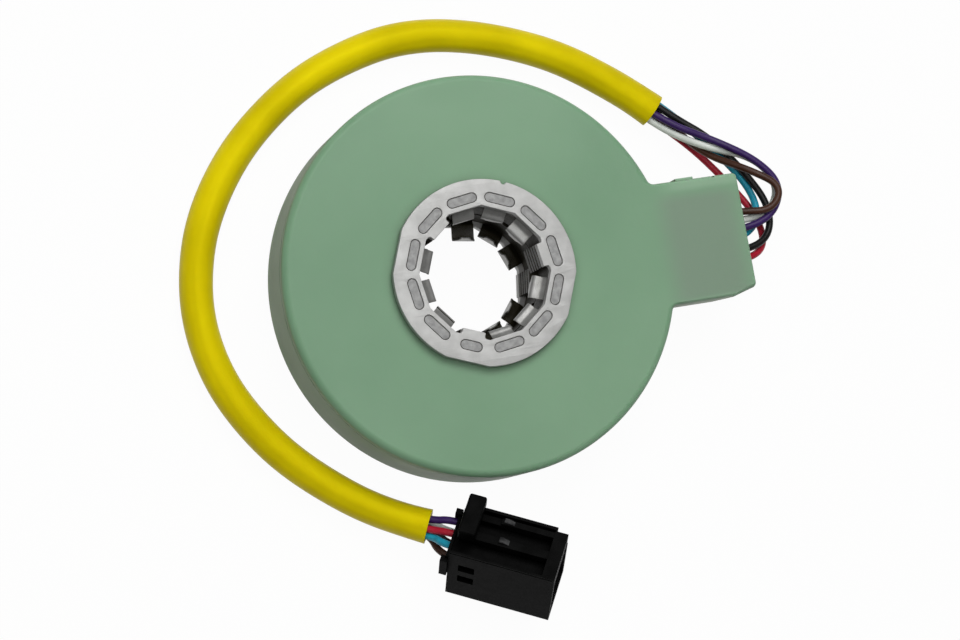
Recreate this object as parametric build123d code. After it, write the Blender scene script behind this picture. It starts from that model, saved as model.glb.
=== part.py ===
from build123d import *
from math import cos, hypot, pi, radians, sin, tan
import os

# A steering column sensor: a cup-shaped housing holds two hubs on one axis. The upper hub grips
# the steering shaft, the lower hub the pinion shaft, and they may turn a little against each other.
# The origin is on the hub axis at the surface the sensor stands on, +Z is up and +X points to the
# block where the six wires leave. Lengths are in millimetres.

# Housing
housing_radius = 37.5
housing_height = 15.2
housing_wall = 1.8
housing_edge = 1.4
side_groove_depth = 0.3
side_groove_drop = 2.6
lid_clearance = 0.1
lid_bead = 0.25

# Wire block on the housing
block_wall_reach = housing_radius + 11.2
block_reach = block_wall_reach + 4.0
block_root = housing_radius - 17.5
block_high_side = 11.7
block_low_side = 11.3
block_draft = 0.8
block_wall = 1.9
eave_thickness = 2.6
eave_corner = 1.6
snap_ledge = (42.4, 3.5, 0.6)

# Hubs, measured from the middle plane between them
hub_proud = 1.9
hub_phase = 8.5
hub_split = 0.3
flange_radius = 17.4
flange_thickness = 1.6
flange_mouth = 12.1
flange_flat_depth = 0.5
flange_notch = 0.55
leaf_sheet = 0.4
neck_radius = 15.3
neck_bore = 12.6
key_face = 11.0
key_width = 4.4
key_corner = 0.45
key_grooves = 4
lug_circle = 13.9
lug_length = 5.8
lug_short = 4.1
lug_width = 1.75
lug_fit = 0.06
lug_sink = 0.12
sectors = 12
key_sectors = (0, 4, 8)
flat_sectors = (5, 8, 11)
notch_sector = 2
short_sector = 8
leaf_width = 4.3
leaf_knee_radii = (0, 9.75, 10.55, 10.5, 0, 9.75, 9.75, 10.0, 0, 10.55, 10.2, 9.75)
leaf_knee_drop = 0.95
leaf_bend = 0.5
leaf_nib_drop = 1.4
leaf_nib_width = 2.2
leaf_nib_length = 0.7

# Discs, boards, bushes and springs inside
disc_radius = housing_radius - housing_wall - 2.2
disc_low = 1.5
disc_thickness = 1.4
dog_count = 3
dog_angle = 24.0
twist_range = 10.0
dog_depth = 1.5
bush_fit = 0.05
bush_wall = 0.8
bush_flange = 18.5
board_inner = 19.0
board_outer = housing_radius - housing_wall - 0.9
board_thickness = 1.2
torque_board_thickness = 0.8
torque_board_outer = disc_radius - 0.5
track_count = 3
track_height = 0.1
track_pitch = (torque_board_outer - board_inner - 6) / (track_count - 1)
track_width = 0.375 * track_pitch
track_rings = [board_inner + 2.5 + i * track_pitch for i in range(track_count)]
board_root = board_inner + 6
board_low_side = 6.4
board_high_side = 7.6
wiper_width = 0.8 * track_width
wiper_sheet = 0.2
wiper_gap = 0.15

# Wires and what they run into
wire_diameter = 1.4
wire_exit_height = 9.5
wire_pitch = 1.9
wire_first = 5.4
wire_order = ("brown", "white", "purple", "cyan", "black", "red")
holder_inner = block_wall_reach - 2.5
holder_outer = block_wall_reach + 0.7
wire_start = holder_inner - 0.2
holder_fit = 0.1
wire_hole_fit = 0.06
pin_size = 1.0
board_reach = holder_inner - 2.8
pin_foot = board_reach - 1.8
link_pin_at = disc_radius + 4
feed_board_reach = link_pin_at + 2.5
link_pin_size = 0.6
link_pin_count = 4
link_pin_pitch = 3.6
bend_share = 0.45

# Sleeve: corners of the route of its centre line, from the sensor to the connector
sleeve_outer = 6.2
sleeve_inner = 5.2
sleeve_lie = sleeve_outer / 2
sleeve_route = [
    (43.5, 28.0, sleeve_lie), (37.5, 33.5, sleeve_lie), (26.5, 41.0, sleeve_lie),
    (13.0, 46.5, sleeve_lie), (-2.5, 49.0, sleeve_lie), (-18.5, 45.5, sleeve_lie),
    (-32.5, 37.5, sleeve_lie), (-44.0, 25.5, sleeve_lie), (-51.0, 10.0, sleeve_lie),
    (-51.0, -6.5, sleeve_lie), (-44.5, -21.0, sleeve_lie), (-34.0, -32.5, sleeve_lie),
    (-23.0, -40.5, 3.9), (-15.8, -43.9, 6.2),
]

# Connector, in its own frame: x towards the mating end, y across the latch face, z up from it
connector_length = 19.9
connector_width = 11.2
connector_height = 13.6
connector_yaw = -26.0
connector_pitch = 14.0
connector_roll = -27.0
connector_at = (-3.6, -52.6)
cavity_columns = (3.5, 0.2, -3.1)
cavity_rows = (3.2, -1.2)
cavity_size = 2.0
terminal_size = 1.6
terminal_length = 12.5
retainer_thickness = 1.4
retainer_hole_fit = 0.4
latch_floor = 4.7
latch_clear = 0.5

# Each wire: its own bends between the block and the sleeve, its place in the bundle at the sleeve's
# mouths and corners as (angle, share of the ring), how far it runs on past the far mouth and how far
# behind the connector it turns in. Its own bends are measured from the block's wall along x.
bundle_ring = 1.72
mouth_lead_in = 3.5
hold = {
    "cyan": [(0, 1)] * 12,
    "purple": [(120, 1)] * 5 + [(150, 1)] + [(180, 1)] * 3 + [(150, 1)] + [(120, 1)] * 2,
    "white": [(173, 1)] + [(180, 1)] * 4 + [(210, 1)] + [(240, 1)] * 3 + [(210, 1)] + [(180, 1)] * 2,
    "black": [(60, 1)] * 5 + [(90, 1)] + [(120, 1)] * 2 + [(120, 0)] * 4,
    "red": [(240, 1)] * 3 + [(240, 0)] + [(60, 0)] * 3 + [(60, 1)] * 5,
    "brown": [(300, 0.1), (300, 0)] + [(300, 1)] * 10,
}
near_mouth = {
    "cyan": (0, 1), "purple": (120, 1), "white": (173, 1),
    "black": (60, 1), "red": (240, 1), "brown": (300, 0.2),
}
far_mouth = {
    "cyan": (18, 1), "purple": (132, 1), "white": (186, 1),
    "black": (108, 0), "red": (66, 1), "brown": (306, 0.93),
}
far_run = {"cyan": 1.5, "purple": 0.8, "white": 0.4, "black": 0.8, "red": 0.4, "brown": 0.3}
turn_in = {"cyan": 2.0, "purple": 2.3, "white": 2.6, "black": 2.0, "red": 2.0, "brown": 2.3}
cavity_run = 4.8
cavity_colours = (("purple", "red", "cyan"), ("white", "black", "brown"))
free_bends = {
    "brown": [(5.8, 5.4, 10.0), (12.5, 4.4, 11.2), (15.7, 9.2, 11.2),
              (9.5, 13.6, 10.4), (2.9, 17.2, 5.2)],
    "white": [(5.8, 3.5, 9.3), (13.3, 4.4, 9.0), (15.3, 10.0, 8.9),
              (9.3, 15.9, 8.8), (1.6, 19.9, 7.6)],
    "purple": [(5.8, 1.6, 9.9), (13.8, 3.2, 9.9), (17.3, 9.6, 9.6),
               (12.7, 15.4, 9.2), (4.7, 20.2, 8.7)],
    "cyan": [(4.8, -0.3, 8.9), (11.7, 2.6, 7.0), (11.0, 9.0, 5.3),
             (5.9, 16.4, 4.5), (0.9, 23.4, 3.0)],
    "black": [(5.3, -2.5, 9.2), (12.3, -0.2, 7.9), (14.1, 6.0, 7.4),
              (9.9, 13.4, 6.2), (4.9, 20.9, 4.8)],
    "red": [(4.8, -4.3, 9.0), (11.5, -2.2, 6.4), (12.1, 4.4, 4.6),
            (6.9, 11.4, 3.4), (1.1, 18.6, 2.3)],
}

# Heights that follow from the sizes above
back = hub_proud
top = hub_proud + housing_height
middle = hub_proud + housing_height / 2
face = middle
wall_low = housing_height / 2 - housing_wall
flange_low = face - flange_thickness
leaf_low = flange_low - leaf_sheet
neck_low = hub_split / 2
disc_high = disc_low + disc_thickness


def disc(radius, low, high):
    """A round disc between two heights."""
    return Pos(0, 0, low) * extrude(Circle(radius), high - low)


def ring(outer, inner, low, high):
    """A flat ring between two heights."""
    return Pos(0, 0, low) * extrude(Circle(outer) - Circle(inner), high - low)


def block(x0, x1, y0, y1, z0, z1):
    """A box given by its low and high corners."""
    return Pos((x0 + x1) / 2, (y0 + y1) / 2, (z0 + z1) / 2) * Box(x1 - x0, y1 - y0, z1 - z0)


def around(shape, sector):
    """A copy turned to one of the hub's twelve sectors."""
    return Rot(0, 0, hub_phase + sector * 360 / sectors) * shape


def upper(shape):
    return Pos(0, 0, middle) * shape


def lower(shape):
    return Pos(0, 0, middle) * Rot(180, 0, 0) * shape


def slot_length(sector):
    return lug_short if sector == short_sector else lug_length


def lug_outline(sector, grow):
    """A rounded lug seen from above, long way along the circle."""
    plain = SlotOverall(slot_length(sector) + 2 * grow, lug_width + 2 * grow, rotation=90)
    return around(Pos(lug_circle, 0) * plain, sector)


# Hub pieces, each made for the upper hub with the middle plane at zero

def flange_outline():
    """The pressed plate's outer edge with three flats and one small notch."""
    plate = Circle(flange_radius)
    for sector in flat_sectors:
        cut = Pos(flange_radius - flange_flat_depth + 5, 0) * Rectangle(10, 2 * flange_radius)
        plate -= around(cut, sector)
    return plate - around(Pos(flange_radius, 0) * Circle(flange_notch), notch_sector)


def flange_mouth_outline():
    """The twelve-sided mouth, filled in at the three keys with a small radius beside them."""
    corner_radius = flange_mouth / cos(pi / sectors)
    mouth = Rot(0, 0, hub_phase + 180 / sectors) * RegularPolygon(corner_radius, sectors)
    tab_depth = corner_radius - key_face
    for sector in key_sectors:
        tab = Pos(key_face + tab_depth / 2 + 0.5, 0) * Rectangle(tab_depth + 1, key_width)
        mouth -= around(tab, sector)
    beside_key = hypot(flange_mouth, key_width / 2)
    corners = [v for v in mouth.vertices() if abs(hypot(v.X, v.Y) - beside_key) < 0.05]
    return fillet(corners, key_corner)


def flange():
    plate = flange_outline() - flange_mouth_outline()
    for sector in range(sectors):
        plate -= lug_outline(sector, lug_fit)
    solid = Pos(0, 0, flange_low) * extrude(plate, flange_thickness)
    return solid


def leaf(knee_radius):
    """One spring leaf with its knee and nib, lying along +X."""
    root, sheet_middle = neck_bore + 0.3, flange_low - leaf_sheet / 2
    knee = sheet_middle - leaf_knee_drop
    path = FilletPolyline(
        (root, 0, sheet_middle), (root - 1.2, 0, sheet_middle), (knee_radius, 0, knee),
        (knee_radius + 0.2, 0, knee - leaf_nib_drop), radius=leaf_bend)
    blade = sweep(Plane(path @ 0, x_dir=(0, 1, 0), z_dir=path % 0)
                  * Rectangle(leaf_width, leaf_sheet), path=path)
    nib = Plane(path @ 1, x_dir=(0, 1, 0), z_dir=path % 1) * Rectangle(leaf_nib_width, leaf_sheet)
    return blade + extrude(nib, leaf_nib_length)


def leaf_ring():
    """The spring steel washer with nine leaves, clamped under the flange."""
    sheet = Circle(neck_radius - 0.1) - Circle(neck_bore)
    for sector in range(sectors):
        sheet -= lug_outline(sector, lug_fit)
    solid = Pos(0, 0, leaf_low) * extrude(sheet, leaf_sheet)
    for sector in range(sectors):
        if sector not in key_sectors:
            solid += around(leaf(leaf_knee_radii[sector]), sector)
    return solid


def key_pad():
    """One driving key: a grooved pad on the neck's inner wall, lying along +X."""
    depth = neck_bore - key_face + 0.4
    pad = Pos(key_face + depth / 2, 0, (neck_low + leaf_low) / 2) * Box(
        depth, key_width, leaf_low - neck_low)
    pitch = (leaf_low - neck_low) / (key_grooves + 1)
    for i in range(key_grooves):
        pad -= Pos(key_face, 0, neck_low + pitch * (i + 1)) * Box(0.7, key_width + 1, 0.5)
    return pad


def rotor_blank():
    """Neck, disc, keys and staked lugs, moulded in one."""
    solid = ring(neck_radius, neck_bore, neck_low, leaf_low)
    solid += ring(disc_radius, neck_bore, disc_low, disc_high)
    for sector in key_sectors:
        solid += around(key_pad(), sector)
    for sector in range(sectors):
        lug = extrude(lug_outline(sector, 0), face - lug_sink - leaf_low + 0.2)
        solid += Pos(0, 0, leaf_low - 0.2) * lug
    return solid


def sector_ring(outer, inner, low, high, angle):
    """Part of a ring, centred on +X."""
    half = radians(angle / 2)
    reach = outer * 2
    wedge = make_face(Polyline((0, 0), (reach * cos(half), -reach * sin(half)),
                               (reach * cos(half), reach * sin(half)), close=True))
    flat = (Circle(outer) - Circle(inner)) & wedge
    return Pos(0, 0, low) * extrude(flat, high - low)


def upper_rotor():
    """The upper rotor carries the stop dogs that reach down into the lower one."""
    solid = rotor_blank()
    for i in range(dog_count):
        dog = sector_ring(neck_radius - 0.1, neck_bore + 0.1, neck_low - dog_depth, neck_low + 0.2,
                          dog_angle)
        solid += Rot(0, 0, hub_phase + 60 + i * 360 / dog_count) * dog
    return solid


def lower_rotor():
    """The lower rotor has the windows that give the dogs their twist."""
    solid = rotor_blank()
    window_angle = dog_angle + 2 * (twist_range + 1)
    for i in range(dog_count):
        window = sector_ring(neck_radius + 0.2, neck_bore - 1.9, neck_low - 1, neck_low + dog_depth + 0.1,
                             window_angle)
        # The lower rotor is turned over about X, which mirrors the dogs' angles.
        solid -= Rot(0, 0, -(hub_phase + 60 + i * 360 / dog_count)) * window
    return solid


# Bearings, spring, boards and wipers

def bush():
    """A flanged bush pressed into the housing wall, in which the neck runs."""
    inner = neck_radius + bush_fit
    sleeve_part = ring(inner + bush_wall, inner, wall_low - 0.9, housing_height / 2 - 0.1)
    return sleeve_part + ring(bush_flange, inner, wall_low - 0.9, wall_low - 0.1)


def dish_spring():
    """A dished washer between the upper rotor and the upper bush."""
    low, high = disc_high + 0.05, wall_low - 0.95
    outline = make_face(Polyline((18.3, low), (18.3, low + 0.3), (15.9, high), (15.6, high),
                                 (15.6, high - 0.3), close=True))
    return revolve(Plane.XZ * outline, Axis.Z)


def board(thickness, outer):
    return ring(outer, board_inner, 0, thickness)


def tongue(reach):
    """The straight part of a board that runs out into the block."""
    return block(board_root, reach, -board_low_side, board_high_side, 0, board_thickness)


def track_set(gap):
    """Printed tracks: rings, open over a small gap if one is given."""
    tracks = Part()
    for centre in track_rings:
        one = ring(centre + track_width / 2, centre - track_width / 2, 0, track_height)
        tracks += one - block(-board_outer, 0, -gap / 2, gap / 2, -1, 1) if gap else one
    return tracks


def wiper(reach):
    """One contact finger along +Y: a foot, an arm that leans away and a rounded tip."""
    lean = reach - wiper_sheet / 2
    path = FilletPolyline((0, -3.4, wiper_sheet / 2), (0, -1.6, wiper_sheet / 2), (0, 1.4, lean),
                          (0, 2.6, lean - 0.9), radius=0.35)
    section = Plane(path @ 0, x_dir=(1, 0, 0), z_dir=path % 0) * Rectangle(wiper_width, wiper_sheet)
    return sweep(section, path=path)


def wiper_set(reach, count):
    """Fingers in rows on the tracks, with the disc's face at zero and the tips above it."""
    fingers = Part()
    for k in range(count):
        for centre in track_rings:
            fingers += Rot(0, 0, 40 + k * 360 / count) * Pos(centre, 0, 0) * wiper(reach)
    return fingers


# Housing

def block_outer():
    """The wire block: side walls with draft under a plate that reaches out over the wires."""
    length, width = block_wall_reach - block_root, block_high_side + block_low_side
    low = Pos(0, 0, back) * Rectangle(length, width - 2 * block_draft)
    high = Pos(0, 0, top) * Rectangle(length, width)
    shift = Pos(block_root + length / 2, (block_high_side - block_low_side) / 2)
    walls = loft([(shift * low).face(), (shift * high).face()])
    eave_low_side = block_low_side - 0.9
    eave_plate = block(block_root, block_reach, -eave_low_side, block_high_side, top - eave_thickness, top)
    corners = eave_plate.edges().filter_by(Axis.Z).group_by(Axis.X)[-1]
    eave_plate = fillet(corners, eave_corner)
    return walls + eave_plate


def beside_block(more):
    """The stretch of the rim, a little wider than the block, that the lid's bead leaves out."""
    side = block_high_side + 8.5 + more
    return block(block_root, block_reach, -side, side, back, back + 2)


def housing_cup():
    solid = disc(housing_radius, back, top) + block_outer()
    rim = solid.faces().sort_by(Axis.Z)[-1].outer_wire().edges()
    solid = fillet(rim, housing_edge)
    at, length, height = snap_ledge
    solid += block(at - length / 2, at + length / 2, block_high_side - 1, block_high_side + height,
                   top - 4.0, top - 0.9)
    groove = ring(housing_radius + 1, housing_radius - side_groove_depth, top - side_groove_drop - 0.3,
                  top - side_groove_drop)
    solid -= groove - block(block_root, block_reach, -block_low_side, block_high_side, back, top)
    cavity = disc(housing_radius - housing_wall, back - 1, top - housing_wall)
    cavity += block(block_root, block_wall_reach + 1, -block_low_side + block_wall,
                    block_high_side - block_wall, back - 1, top - housing_wall)
    solid -= cavity
    bore = neck_radius + bush_fit + bush_wall
    solid -= disc(bore, top - housing_wall - 1, top + 1)
    solid -= disc(housing_radius - housing_wall + lid_bead, back + 0.5, back + 1.3) - beside_block(0)
    return solid


def housing_lid():
    inset = housing_radius - housing_wall - lid_clearance
    solid = ring(inset, neck_radius + bush_fit + bush_wall, back, back + housing_wall)
    solid += block(block_root, block_wall_reach - 0.2, -block_low_side + block_wall + lid_clearance,
                   block_high_side - block_wall - lid_clearance, back, back + housing_wall)
    bead = ring(inset + lid_bead, inset - 1, back + 0.6, back + 1.2)
    solid += bead - beside_block(0.5)
    return solid


def wire_exit(colour):
    return wire_first - wire_pitch * wire_order.index(colour)


def first_bends(colour):
    """The corners of one wire between the block's wall and the sleeve."""
    return [Vector(block_wall_reach + x, y, z) for x, y, z in free_bends[colour]]


def wire_holder():
    """The block that fills the housing's opening and keeps the wires in line."""
    solid = block(holder_inner, holder_outer, -block_low_side + block_wall + holder_fit,
                  block_high_side - block_wall - holder_fit, back + housing_wall + holder_fit,
                  top - eave_thickness - holder_fit)
    for colour in wire_order:
        start = Vector(wire_start, wire_exit(colour), wire_exit_height)
        bore = Plane(start, z_dir=first_bends(colour)[0] - start)
        solid -= bore * Cylinder(wire_diameter / 2 + wire_hole_fit, 16)
    return solid


def terminal_pins():
    """Six bent pins from the lower board up to the wires' ends."""
    pins = Part()
    foot = back + housing_wall + board_thickness
    half = pin_size / 2
    for colour in wire_order:
        y = wire_exit(colour)
        post = block(pin_foot - half, pin_foot + half, y - half, y + half, foot,
                     wire_exit_height + half)
        arm = block(pin_foot, wire_start, y - half, y + half, wire_exit_height - half,
                    wire_exit_height + half)
        pins += fillet((post + arm).edges().filter_by(Axis.Y).group_by(Axis.Z)[-1].sort_by(Axis.X)[0],
                       half)
    return pins


def link_pins():
    """Pins that join the upper board to the lower one inside the block."""
    pins = Part()
    low = back + housing_wall + board_thickness
    high = top - housing_wall - board_thickness
    half = link_pin_size / 2
    for i in range(link_pin_count):
        y = link_pin_pitch * (i - (link_pin_count - 1) / 2)
        pins += block(link_pin_at - half, link_pin_at + half, y - half, y + half, low, high)
    return pins


# Harness

def frame_at(i):
    """Point, direction, outward side, upward side and mitre stretch at one sleeve corner."""
    points = [Vector(*p) for p in sleeve_route]
    before = (points[i] - points[i - 1]).normalized() if i > 0 else None
    after = (points[i + 1] - points[i]).normalized() if i < len(points) - 1 else None
    before, after = before or after, after or before
    along = (before + after).normalized()
    stretch = 1 / cos(radians(before.get_angle(after)) / 2)
    outward = along.cross(Vector(0, 0, 1)).normalized()
    return points[i], along, outward, outward.cross(along), stretch


def in_bundle(i, place, shift=0.0):
    """Where a wire lies beside the sleeve's centre line at corner i."""
    point, along, outward, upward, stretch = frame_at(i)
    angle, share = radians(place[0]), bundle_ring * place[1]
    side = outward * (share * cos(angle) * stretch) + upward * (share * sin(angle))
    return point + along * shift + side


def connector_turn():
    return Rot(0, 0, connector_yaw) * Rot(0, -connector_pitch, 0) * Rot(connector_roll, 0, 0)


def connector_place():
    """The connector's frame, with its lowest corner on the resting surface."""
    half = (connector_length / 2, connector_width / 2, connector_height / 2)
    corners = [Pos(sx * half[0], sy * half[1], sz * half[2])
               for sx in (-1, 1) for sy in (-1, 1) for sz in (-1, 1)]
    lowest = min((connector_turn() * corner).position.Z for corner in corners)
    return Pos(connector_at[0], connector_at[1], -lowest) * connector_turn()


def cavity_centre(colour):
    row = 0 if colour in cavity_colours[0] else 1
    return cavity_columns[cavity_colours[row].index(colour)], cavity_rows[row]


def wire_end_x(colour):
    return -connector_length / 2 - turn_in[colour] + cavity_run


def wire_points(colour):
    """All corners of one wire, from its pin in the block to its terminal in the connector."""
    points = [Vector(wire_start, wire_exit(colour), wire_exit_height)]
    points += first_bends(colour)
    points.append(in_bundle(0, near_mouth[colour], -mouth_lead_in))
    points += [in_bundle(i + 1, place) for i, place in enumerate(hold[colour])]
    points.append(in_bundle(len(sleeve_route) - 1, far_mouth[colour], far_run[colour]))
    y, z = cavity_centre(colour)
    for x in (-connector_length / 2 - turn_in[colour], wire_end_x(colour)):
        points.append((connector_place() * Pos(x, y, z)).position)
    return points


def bend_radii(points):
    """One radius for each corner: as large as the two runs beside it allow."""
    radii = []
    for before, here, after in zip(points, points[1:], points[2:]):
        turn = radians((here - before).get_angle(after - here))
        radii.append(bend_share * min((here - before).length, (after - here).length) / tan(turn / 2))
    return radii


def tube(points, outer, inner, name):
    """A round cord or hose along straight runs joined by tangent arcs."""
    radii = bend_radii(points)
    path = FilletPolyline(*points, radius=radii)
    start = Plane(path @ 0, z_dir=path % 0)
    section = Circle(outer) - Circle(inner) if inner else Circle(outer)
    solid = sweep(start * section, path=path)
    area = pi * (outer ** 2 - inner ** 2)
    print(name, "length", round(path.length, 1), "tightest", round(min(radii), 1),
          "volume ratio", round(solid.volume / (area * path.length), 4),
          "radii", [round(r) for r in radii])
    return solid


# Connector pieces, in the connector's own frame

def connector_shell():
    half_l, half_w, half_h = connector_length / 2, connector_width / 2, connector_height / 2
    solid = block(-half_l, half_l, -half_w, half_w, -half_h, half_h)
    solid = fillet(solid.edges().filter_by(Axis.X), 0.4)
    rail = 0.8
    bar = 1.9
    well = block(-half_l - 1, half_l - bar, -half_w + rail, half_w - rail, latch_floor, half_h + 1)
    solid -= well
    legs = ((-3.4, -1.7), (2.3, 4.0))
    leg_low, leg_high = latch_floor + latch_clear, half_h
    for y0, y1 in legs:
        solid += block(-half_l + 2.4, half_l - bar + 0.5, y0, y1, leg_low, leg_high)
        y = (y0 + y1) / 2
        catch = make_face(Polyline((-2.6, leg_high), (-0.4, leg_high), (-1.0, leg_high + 0.8),
                                   close=True))
        solid += Pos(0, y + 0.6, 0) * extrude(Plane.XZ * catch, 1.2)
    tab = block(-half_l + 0.3, -half_l + 3.1, -3.6, half_w + 0.6, leg_low, half_h + 2.0)
    solid += fillet(tab.edges().filter_by(Axis.Z), 0.5)
    for colour in wire_order:
        y, z = cavity_centre(colour)
        hole = block(-half_l - 1, half_l - 5, y - cavity_size / 2, y + cavity_size / 2,
                     z - cavity_size / 2, z + cavity_size / 2)
        solid -= hole
    solid -= block(half_l - 6.5, half_l + 1, -half_w + 1.0, half_w - 1.0, -3.6, 4.2)
    window_length, window_height = 3.1, 1.7
    for row in cavity_rows:
        solid -= block(-half_l + 1.8, -half_l + 1.8 + window_length, -half_w - 1, cavity_columns[2],
                       row - 0.6 - window_height / 2, row - 0.6 + window_height / 2)
    return solid


def connector_retainer():
    """The plate clipped on the back of the shell, which holds the terminals in."""
    x1 = -connector_length / 2
    plate = block(x1 - retainer_thickness, x1, -connector_width / 2 - 0.8, connector_width / 2 + 0.4,
                  -3.4, latch_floor + 0.6)
    plate = fillet(plate.edges().filter_by(Axis.X), 1.2)
    for colour in wire_order:
        y, z = cavity_centre(colour)
        plate -= Pos(x1, y, z) * Rot(0, 90, 0) * Cylinder(wire_diameter / 2 + retainer_hole_fit, 6)
    return plate


def connector_terminals():
    """Six socket terminals: a round crimp behind a square box with a hole for the pin."""
    terminals = Part()
    half = terminal_size / 2
    for colour in wire_order:
        y, z = cavity_centre(colour)
        x0 = wire_end_x(colour)
        crimp = Pos(x0, y, z) * Rot(0, 90, 0) * Cylinder(
            half, 3.2, align=(Align.CENTER, Align.CENTER, Align.MIN))
        box = block(x0 + 3, x0 + terminal_length, y - half, y + half, z - half, z + half)
        box -= block(x0 + terminal_length - 5, x0 + terminal_length + 1, y - 0.35, y + 0.35,
                     z - 0.35, z + 0.35)
        terminals += crimp + box
    return terminals


nodes = {}
nodes["housing_cup"] = housing_cup()
nodes["housing_lid"] = housing_lid()
nodes["wire_holder"] = wire_holder()
nodes["upper_flange"] = upper(flange())
nodes["upper_leaf_ring"] = upper(leaf_ring())
nodes["upper_rotor"] = upper(upper_rotor())
nodes["lower_flange"] = lower(flange())
nodes["lower_leaf_ring"] = lower(leaf_ring())
nodes["lower_rotor"] = lower(lower_rotor())
nodes["upper_bush"] = upper(bush())
nodes["lower_bush"] = lower(bush())
nodes["dish_spring"] = upper(dish_spring())

lid_face = back + housing_wall
roof_face = top - housing_wall
lower_disc_low, lower_disc_high = middle - disc_high, middle - disc_low
upper_disc_low, upper_disc_high = middle + disc_low, middle + disc_high
turned_over = Rot(180, 0, 0)
angle_board = board(board_thickness, board_outer) + tongue(board_reach)
nodes["angle_board"] = Pos(0, 0, lid_face) * angle_board
nodes["angle_tracks"] = Pos(0, 0, lid_face + board_thickness) * track_set(1.5)
feed_board = board(board_thickness, board_outer) + tongue(feed_board_reach)
nodes["feed_board"] = Pos(0, 0, roof_face - board_thickness) * feed_board
nodes["feed_tracks"] = Pos(0, 0, roof_face - board_thickness) * turned_over * track_set(0)
nodes["torque_board"] = Pos(0, 0, lower_disc_high) * board(torque_board_thickness, torque_board_outer)
torque_face = lower_disc_high + torque_board_thickness
nodes["torque_tracks"] = Pos(0, 0, torque_face) * track_set(1.5)

angle_reach = lower_disc_low - (lid_face + board_thickness + track_height) - wiper_gap
nodes["angle_wipers"] = Pos(0, 0, lower_disc_low) * turned_over * wiper_set(angle_reach, 2)
torque_reach = upper_disc_low - (torque_face + track_height) - wiper_gap
nodes["torque_wipers"] = Pos(0, 0, upper_disc_low) * turned_over * wiper_set(torque_reach, 2)
feed_reach = roof_face - board_thickness - track_height - upper_disc_high - wiper_gap
nodes["feed_wipers"] = Pos(0, 0, upper_disc_high) * wiper_set(feed_reach, 3)
nodes["terminal_pins"] = terminal_pins()
nodes["link_pins"] = link_pins()

place = connector_place()
nodes["connector_shell"] = place * connector_shell()
nodes["connector_retainer"] = place * connector_retainer()
nodes["connector_terminals"] = place * connector_terminals()
for colour in wire_order:
    nodes["wire_" + colour] = tube(wire_points(colour), wire_diameter / 2, 0, "wire_" + colour)
sleeve_points = [Vector(*p) for p in sleeve_route]
nodes["sleeve"] = tube(sleeve_points, sleeve_outer / 2, sleeve_inner / 2, "sleeve")

os.makedirs("parts", exist_ok=True)
for name, shape in nodes.items():
    export_step(shape, f"parts/{name}.step")
print(len(nodes), "nodes")
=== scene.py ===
from math import atan2, cos, pi, radians, sin, sqrt, tan
import bmesh
import bpy
from mathutils import Matrix, Vector


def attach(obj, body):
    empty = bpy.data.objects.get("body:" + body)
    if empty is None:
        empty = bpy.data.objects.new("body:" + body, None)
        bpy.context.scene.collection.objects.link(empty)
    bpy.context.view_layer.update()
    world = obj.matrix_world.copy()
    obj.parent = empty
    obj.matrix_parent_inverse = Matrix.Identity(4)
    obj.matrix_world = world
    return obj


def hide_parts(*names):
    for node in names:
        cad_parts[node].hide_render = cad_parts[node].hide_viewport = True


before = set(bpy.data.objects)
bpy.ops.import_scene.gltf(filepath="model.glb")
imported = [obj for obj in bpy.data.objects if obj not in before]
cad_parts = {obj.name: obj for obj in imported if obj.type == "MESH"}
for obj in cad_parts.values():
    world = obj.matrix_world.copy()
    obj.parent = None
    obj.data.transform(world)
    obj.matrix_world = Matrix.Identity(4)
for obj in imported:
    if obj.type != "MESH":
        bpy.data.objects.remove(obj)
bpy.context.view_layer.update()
mm = 0.001
midPlane = 9.5  # height of the plane between the two hubs, in mm
weldDistance = 1e-4  # points nearer than this are one point
past = 1.0  # how far a cutting tool reaches out of what it cuts
cornerTurns = (0.4, 0.8, 1.2, pi / 2)  # steps of the angle round a corner


# Shared helpers. Lengths are in mm until finishPiece scales a piece to metres.

def addObject(name, data):
    obj = bpy.data.objects.new(name, data)
    bpy.context.scene.collection.objects.link(obj)
    return obj


def weld(mesh, distance):
    work = bmesh.new()
    work.from_mesh(mesh)
    bmesh.ops.remove_doubles(work, verts=work.verts, dist=distance)
    bmesh.ops.recalc_face_normals(work, faces=work.faces)
    work.to_mesh(mesh)
    work.free()


def meshObject(name, verts, faces):
    mesh = bpy.data.meshes.new(name)
    mesh.from_pydata([tuple(v) for v in verts], [], faces)
    weld(mesh, weldDistance)
    return addObject(name, mesh)


def bake(obj):  # applies the modifiers and leaves a plain mesh object
    bpy.context.view_layer.update()
    graph = bpy.context.evaluated_depsgraph_get()
    mesh = bpy.data.meshes.new_from_object(obj.evaluated_get(graph), depsgraph=graph)
    name = obj.name
    matrix = obj.matrix_world.copy()
    bpy.data.objects.remove(obj)
    mesh.transform(matrix)
    return addObject(name, mesh)


def boolean(obj, tool, kind="DIFFERENCE"):
    mod = obj.modifiers.new("cut", "BOOLEAN")
    mod.object = tool
    mod.operation = kind
    mod.solver = "EXACT"
    made = bake(obj)
    bpy.data.objects.remove(tool)
    return made


def boxObject(x0, x1, y0, y1, z0, z1, name="box"):
    verts = [(x, y, z) for x in (x0, x1) for y in (y0, y1) for z in (z0, z1)]
    faces = [(0, 1, 3, 2), (4, 6, 7, 5), (0, 4, 5, 1), (2, 3, 7, 6), (0, 2, 6, 4), (1, 5, 7, 3)]
    return meshObject(name, verts, faces)


def cutBox(obj, *sizes):
    return boolean(obj, boxObject(*sizes))


def addBox(obj, *sizes):
    return boolean(obj, boxObject(*sizes), "UNION")


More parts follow.
